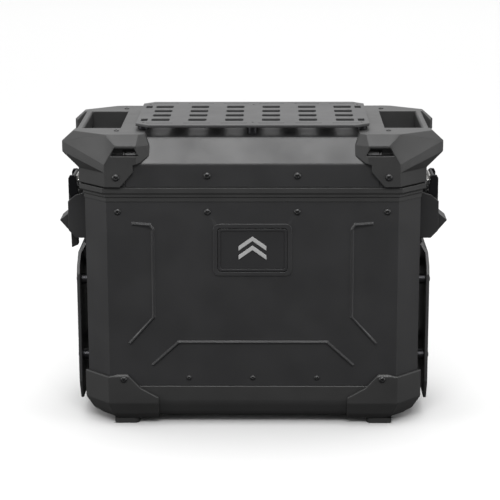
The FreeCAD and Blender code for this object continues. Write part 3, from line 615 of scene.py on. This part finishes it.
@dataclass
class Fasteners:
    """Every group of bolts, screws and rivets, one piece for each node.

    Attributes:
        height: A head's height as a share of its radius, as the frame has it.
        shank: A shank's radius as a share of the head's.
        key: A socket's radius as a share of the head's.
        key_depth: A socket's depth as a share of the head's height.
        key_sides: How many sides a socket has.
        dimple: A rivet's dimple's radius as a share of its head's.
        dimple_sides: How many sides a dimple has.
    """

    height: float = 0.55
    shank: float = 0.55
    key: float = 0.45
    key_depth: float = 0.7
    key_sides: int = 6
    dimple: float = 0.28
    dimple_sides: int = 12

    def build(self) -> None:
        """Makes each group with the shared tree."""
        tree = HeadTree().build()
        driven = {
            "rim_bolts": Axis.Y, "guard_bolts": Axis.Y, "lid_bolts": Axis.Y,
            "lid_corner_bolts": Axis.Y, "rack_bolts": Axis.Y, "base_rivets": Axis.Y,
            "side_plate_bolts": Axis.X, "latch_screws": Axis.X, "handle_screws": Axis.Z,
        }
        for node, axis in driven.items():
            self.group(tree, node, axis)

    def group(self, tree: bpy.types.NodeTree, node: str, axis: Axis) -> None:
        """Makes one group of fasteners on the seats that the frame gives.

        Args:
            tree: The shared tree.
            node: The group's node.
            axis: The axis it is driven along.
        """
        across = 0 if axis is Axis.Y else 1
        solids = islands(node)
        low, high = solids[0]
        radius = (high - low)[across] / 2
        height = radius * self.height
        seats, outs = [], []
        for low, high in solids:
            seat = (low + high) / 2
            outward = axis is Axis.Z or seat[axis.value] > CASE_MIDDLE[axis.value]
            seat[axis.value] = high[axis.value] - height if outward else low[axis.value] + height
            out = Vector((0.0, 0.0, 0.0))
            out[axis.value] = 1.0 if outward else -1.0
            seats.append(seat)
            outs.append(out)
        mesh = bpy.data.meshes.new(node + "_seats")
        mesh.from_pydata(seats, [], [])
        facing = mesh.attributes.new("out", "FLOAT_VECTOR", "POINT")
        facing.data.foreach_set("vector", [c for out in outs for c in out])
        draft = linked(node + "_draft", mesh)
        rivet = node == "base_rivets"
        wanted = {
            "Head Radius": radius, "Head Height": height, "Shank Radius": radius * self.shank,
            "Grip": (high - low)[axis.value] - height,
            "Socket Radius": radius * (self.dimple if rivet else self.key),
            "Socket Depth": height * self.key_depth,
            "Socket Sides": self.dimple_sides if rivet else self.key_sides,
            "Finish": BLACK_OXIDE.material(),
        }
        work = draft.modifiers.new("fasteners", "NODES")
        work.node_group = tree
        for item in tree.interface.items_tree:
            if item.name in wanted and item.in_out == "INPUT":
                work[item.identifier] = wanted[item.name]
        hand_over(linked(node + "_finished", plain_mesh(draft)), node)


# ---- sub-assemblies ----


@dataclass
class CaseBody:
    """The panel tube, its rim and the moulded base."""

    rim_edge_mm: float = 0.4
    bowl_edge_mm: float = 4.5
    bowl_segments: int = 5

    def build(self) -> None:
        """Makes the body's pieces."""
        rounded("case_shell", SHELL_POWDER, 0.0, crease_deg=FACET_CREASE_DEG)
        rounded("case_rim", MOULDED_NYLON, self.rim_edge_mm, crease_deg=FACET_CREASE_DEG)
        rounded("base_tray", MOULDED_NYLON, self.bowl_edge_mm, segments=self.bowl_segments,
                turn_deg=MOULDING_TURN_DEG)


@dataclass
class Corners:
    """Lower corner guards, the feet under them and the side plates."""

    guard_edge_mm: float = 1.3
    plate_edge_mm: float = 0.9
    foot_edge_mm: float = 1.2
    spacer_edge_mm: float = 0.5

    def build(self) -> None:
        """Makes the guards, feet, side plates and their spacers."""
        for side in ("left", "right"):
            for face in ("front", "back"):
                rounded(f"corner_guard_{face}_{side}", MOULDED_NYLON, self.guard_edge_mm,
                        turn_deg=GUARD_TURN_DEG, crease_deg=FACET_CREASE_DEG)
            rounded(f"side_plate_{side}", PLATE_POWDER, self.plate_edge_mm)
        rounded("rubber_feet", BLACK_RUBBER, self.foot_edge_mm)
        rounded("side_plate_standoffs", DARK_ANODISED, self.spacer_edge_mm)


@dataclass
class Badge:
    """The bezel, plate and emblem on the outer panel."""

    emblem_edge_mm: float = 0.3

    def build(self) -> None:
        """Makes the badge's three pieces."""
        rounded("badge_frame", BADGE_SATIN, 0.0, crease_deg=BADGE_CREASE_DEG)
        rounded("badge_plate", BADGE_SATIN, 0.0, crease_deg=BADGE_CREASE_DEG)
        rounded("badge_emblem", PALE_EMBLEM, self.emblem_edge_mm)


@dataclass
class Latches:
    """Both latches with their levers, hooks, locks and keepers."""

    moulding_edge_mm: float = 0.7
    steel_edge_mm: float = 0.35
    tab_edge_mm: float = 0.8

    def build(self) -> None:
        """Makes each side's latch, and the pull tab on the left one."""
        for side in ("left", "right"):
            rounded(f"latch_base_{side}", LATCH_NYLON, self.moulding_edge_mm)
            rounded(f"latch_lever_{side}", LATCH_NYLON, self.moulding_edge_mm)
            rounded(f"latch_hook_{side}", BLACK_ZINC, self.steel_edge_mm)
            rounded(f"keeper_{side}", STAINLESS, self.steel_edge_mm)
            for node in (f"lever_pin_{side}", f"hook_pins_{side}", f"lock_cylinder_{side}"):
                dress(node, STAINLESS)
        rounded("pull_tab", BLACK_RUBBER, self.tab_edge_mm)


@dataclass
class Lid:
    """The lid, its seal, the end mouldings and the cargo plate."""

    shell_edge_mm: float = 1.8
    seal_edge_mm: float = 0.5
    end_edge_mm: float = 0.8
    plate_edge_mm: float = 0.7
    post_edge_mm: float = 0.5
    screw_edge_mm: float = 0.2

    def build(self) -> None:
        """Makes everything that lifts with the lid."""
        rounded("lid_shell", SHELL_POWDER, self.shell_edge_mm)
        rounded("lid_gasket", BLACK_RUBBER, self.seal_edge_mm)
        for side in ("left", "right"):
            rounded(f"lid_end_{side}", MOULDED_NYLON, self.end_edge_mm,
                    turn_deg=MOULDING_TURN_DEG, crease_deg=FACET_CREASE_DEG)
            rounded(f"lid_shelf_{side}", SHELL_POWDER, self.shell_edge_mm)
            dress(f"lid_end_wall_{side}", SHELL_POWDER)
        rounded("cargo_plate", PLATE_POWDER, self.plate_edge_mm)
        rounded("plate_posts", DARK_ANODISED, self.post_edge_mm)
        rounded("plate_bolts", BLACK_OXIDE, self.screw_edge_mm)


@dataclass
class RackSide:
    """The hooks and the lock that hold the case on its rack."""

    edge_mm: float = 0.8

    def build(self) -> None:
        """Makes the hooks, the lock's plate, its knob and its cam."""
        for side in ("left", "right"):
            for level in ("upper", "lower"):
                rounded(f"rack_hook_{level}_{side}", BLACK_ZINC, self.edge_mm)
        rounded("rack_lock_housing", LATCH_NYLON, self.edge_mm)
        rounded("rack_lock_knob", LATCH_NYLON, self.edge_mm)
        rounded("rack_lock_cam", BLACK_ZINC, self.edge_mm)


# ---- studio ----


@dataclass(frozen=True)
class Softbox:
    """One soft rectangular light.

    Attributes:
        name: The light's name.
        place: Where it hangs.
        turn_deg: Its turn about X, Y and Z, from facing straight down.
        size: Its width and height.
        watts: Its power.
    """

    name: str
    place: tuple[float, float, float]
    turn_deg: tuple[float, float, float]
    size: tuple[float, float]
    watts: float

    def build(self) -> None:
        """Hangs the light."""
        lamp = bpy.data.lights.new(self.name, "AREA")
        lamp.shape = "RECTANGLE"
        lamp.size, lamp.size_y = self.size
        lamp.energy = self.watts
        thing = bpy.data.objects.new(self.name, lamp)
        thing.location = self.place
        thing.rotation_euler = [math.radians(a) for a in self.turn_deg]
        bpy.context.scene.collection.objects.link(thing)


SOFTBOXES = (
    Softbox("top_light", (0.0, 0.3, 2.4), (0.0, 0.0, 0.0), (2.2, 1.6), 14.0),
    Softbox("back_light", (0.0, 4.5, 3.0), (0.0, 0.0, 0.0), (7.0, 4.0), 60.0),
    Softbox("high_light", (0.0, -1.9, 1.75), (52.0, 0.0, 0.0), (1.6, 0.7), 42.0),
    Softbox("right_light", (2.3, -1.0, 0.6), (85.0, 0.0, 66.0), (1.0, 1.1), 19.0),
    Softbox("left_light", (-2.3, -1.0, 0.6), (85.0, 0.0, -66.0), (1.0, 1.1), 21.0),
)


@dataclass
class Studio:
    """A pale floor, soft light and the camera.

    Attributes:
        camera_place: Where the camera stands.
        camera_turn_deg: Its turn about X, Y and Z.
        lens_mm: Its focal length.
        sensor_mm: Its sensor's width.
        far_end: How far it sees, in metres.
        floor_half: Half the floor's width.
        paper: The floor's colour as the camera sees it.
        bounce: The floor's colour as the case sees it, darker so that the upright faces stay dark.
        paper_roughness: The floor's roughness.
        paper_shine: How much it shines at a low angle.
        front_sky: The strength of the surroundings in front.
        back_sky: Their strength behind.
        sky_reach: Where their change from front to back begins and ends, along a direction's Y.
        zenith: How much brighter they are overhead.
        zenith_power: How closely that brightness keeps to the top.
    """

    camera_place: tuple[float, float, float] = (0.0278, -2.3817, 0.7997)
    camera_turn_deg: tuple[float, float, float] = (76.09, 0.18, 0.74)
    lens_mm: float = 130.1
    sensor_mm: float = 36.0
    far_end: float = 200.0
    floor_half: float = 30.0
    paper: str = "#bdbdbd"
    bounce: str = "#565656"
    paper_roughness: float = 0.9
    paper_shine: float = 0.1
    front_sky: float = 0.12
    back_sky: float = 0.6
    sky_reach: tuple[float, float] = (-1.0, 0.8)
    zenith: float = 2.4
    zenith_power: float = 2.0

    def build(self) -> None:
        """Makes the floor, lights and camera."""
        bpy.context.scene.view_settings.view_transform = "Standard"
        self.floor()
        self.surroundings()
        for light in SOFTBOXES:
            light.build()
        self.camera()

    def floor(self) -> None:
        """Makes the pale floor, which isn't part of the case."""
        h = self.floor_half
        mesh = bpy.data.meshes.new("floor")
        mesh.from_pydata([(-h, -h, 0), (h, -h, 0), (h, h, 0), (-h, h, 0)], [], [(0, 1, 2, 3)])
        paper = bpy.data.materials.new("white_paper")
        paper.use_nodes = True
        shader = paper.node_tree.nodes["Principled BSDF"]
        tree = paper.node_tree
        seen = add_node(tree, "ShaderNodeLightPath").outputs["Is Camera Ray"]
        shade = add_node(tree, "ShaderNodeMix", {
            0: seen, 6: linear(self.bounce), 7: linear(self.paper),
        }, data_type="RGBA")
        tree.links.new(shade.outputs[2], shader.inputs["Base Color"])
        shader.inputs["Roughness"].default_value = self.paper_roughness
        shader.inputs["Specular IOR Level"].default_value = self.paper_shine
        mesh.materials.append(paper)
        linked("floor", mesh)

    def surroundings(self) -> None:
        """Lights the scene softly from all round, less from the front than from behind."""
        world = bpy.data.worlds.new("soft_room")
        world.use_nodes = True
        back = world.node_tree.nodes["Background"]
        tree = world.node_tree
        way = add_node(tree, "ShaderNodeSeparateXYZ", {
            0: add_node(tree, "ShaderNodeTexCoord").outputs["Generated"],
        })
        falloff = add_node(tree, "ShaderNodeMapRange", {
            "Value": way.outputs["Y"], "From Min": self.sky_reach[0], "From Max": self.sky_reach[1],
            "To Min": self.front_sky, "To Max": self.back_sky,
        })
        seen = add_node(tree, "ShaderNodeLightPath").outputs["Is Camera Ray"]
        height = add_node(tree, "ShaderNodeMath", {0: way.outputs["Z"], 1: 0.0},
                          operation="MAXIMUM")
        overhead = add_node(tree, "ShaderNodeMath", {0: height.outputs[0], 1: self.zenith_power},
                            operation="POWER")
        whole = add_node(tree, "ShaderNodeMath", {
            0: overhead.outputs[0], 1: self.zenith, 2: falloff.outputs["Result"],
        }, operation="MULTIPLY_ADD")
        power = add_node(tree, "ShaderNodeMix", {0: seen, 2: whole.outputs[0], 3: 1.0})
        back.inputs["Color"].default_value = (1.0, 1.0, 1.0, 1.0)
        tree.links.new(power.outputs[0], back.inputs["Strength"])
        bpy.context.scene.world = world

    def camera(self) -> None:
        """Puts the camera in front of the case and a little above it."""
        lens = bpy.data.cameras.new("camera")
        lens.lens = self.lens_mm
        lens.sensor_width = self.sensor_mm
        lens.clip_end = self.far_end
        thing = bpy.data.objects.new("camera", lens)
        thing.location = self.camera_place
        thing.rotation_euler = [math.radians(a) for a in self.camera_turn_deg]
        bpy.context.scene.collection.objects.link(thing)
        bpy.context.scene.camera = thing


def main() -> None:
    """Builds the case from its base up, and then the studio round it."""
    logging.basicConfig(level=logging.INFO, format="%(name)s: %(message)s")
    for part in (CaseBody(), Corners(), Badge(), Latches(), Lid(), RackSide(), Fasteners(),
                 Studio()):
        log.info("building %s", type(part).__name__)
        part.build()


if __name__ == "__main__":
    main()
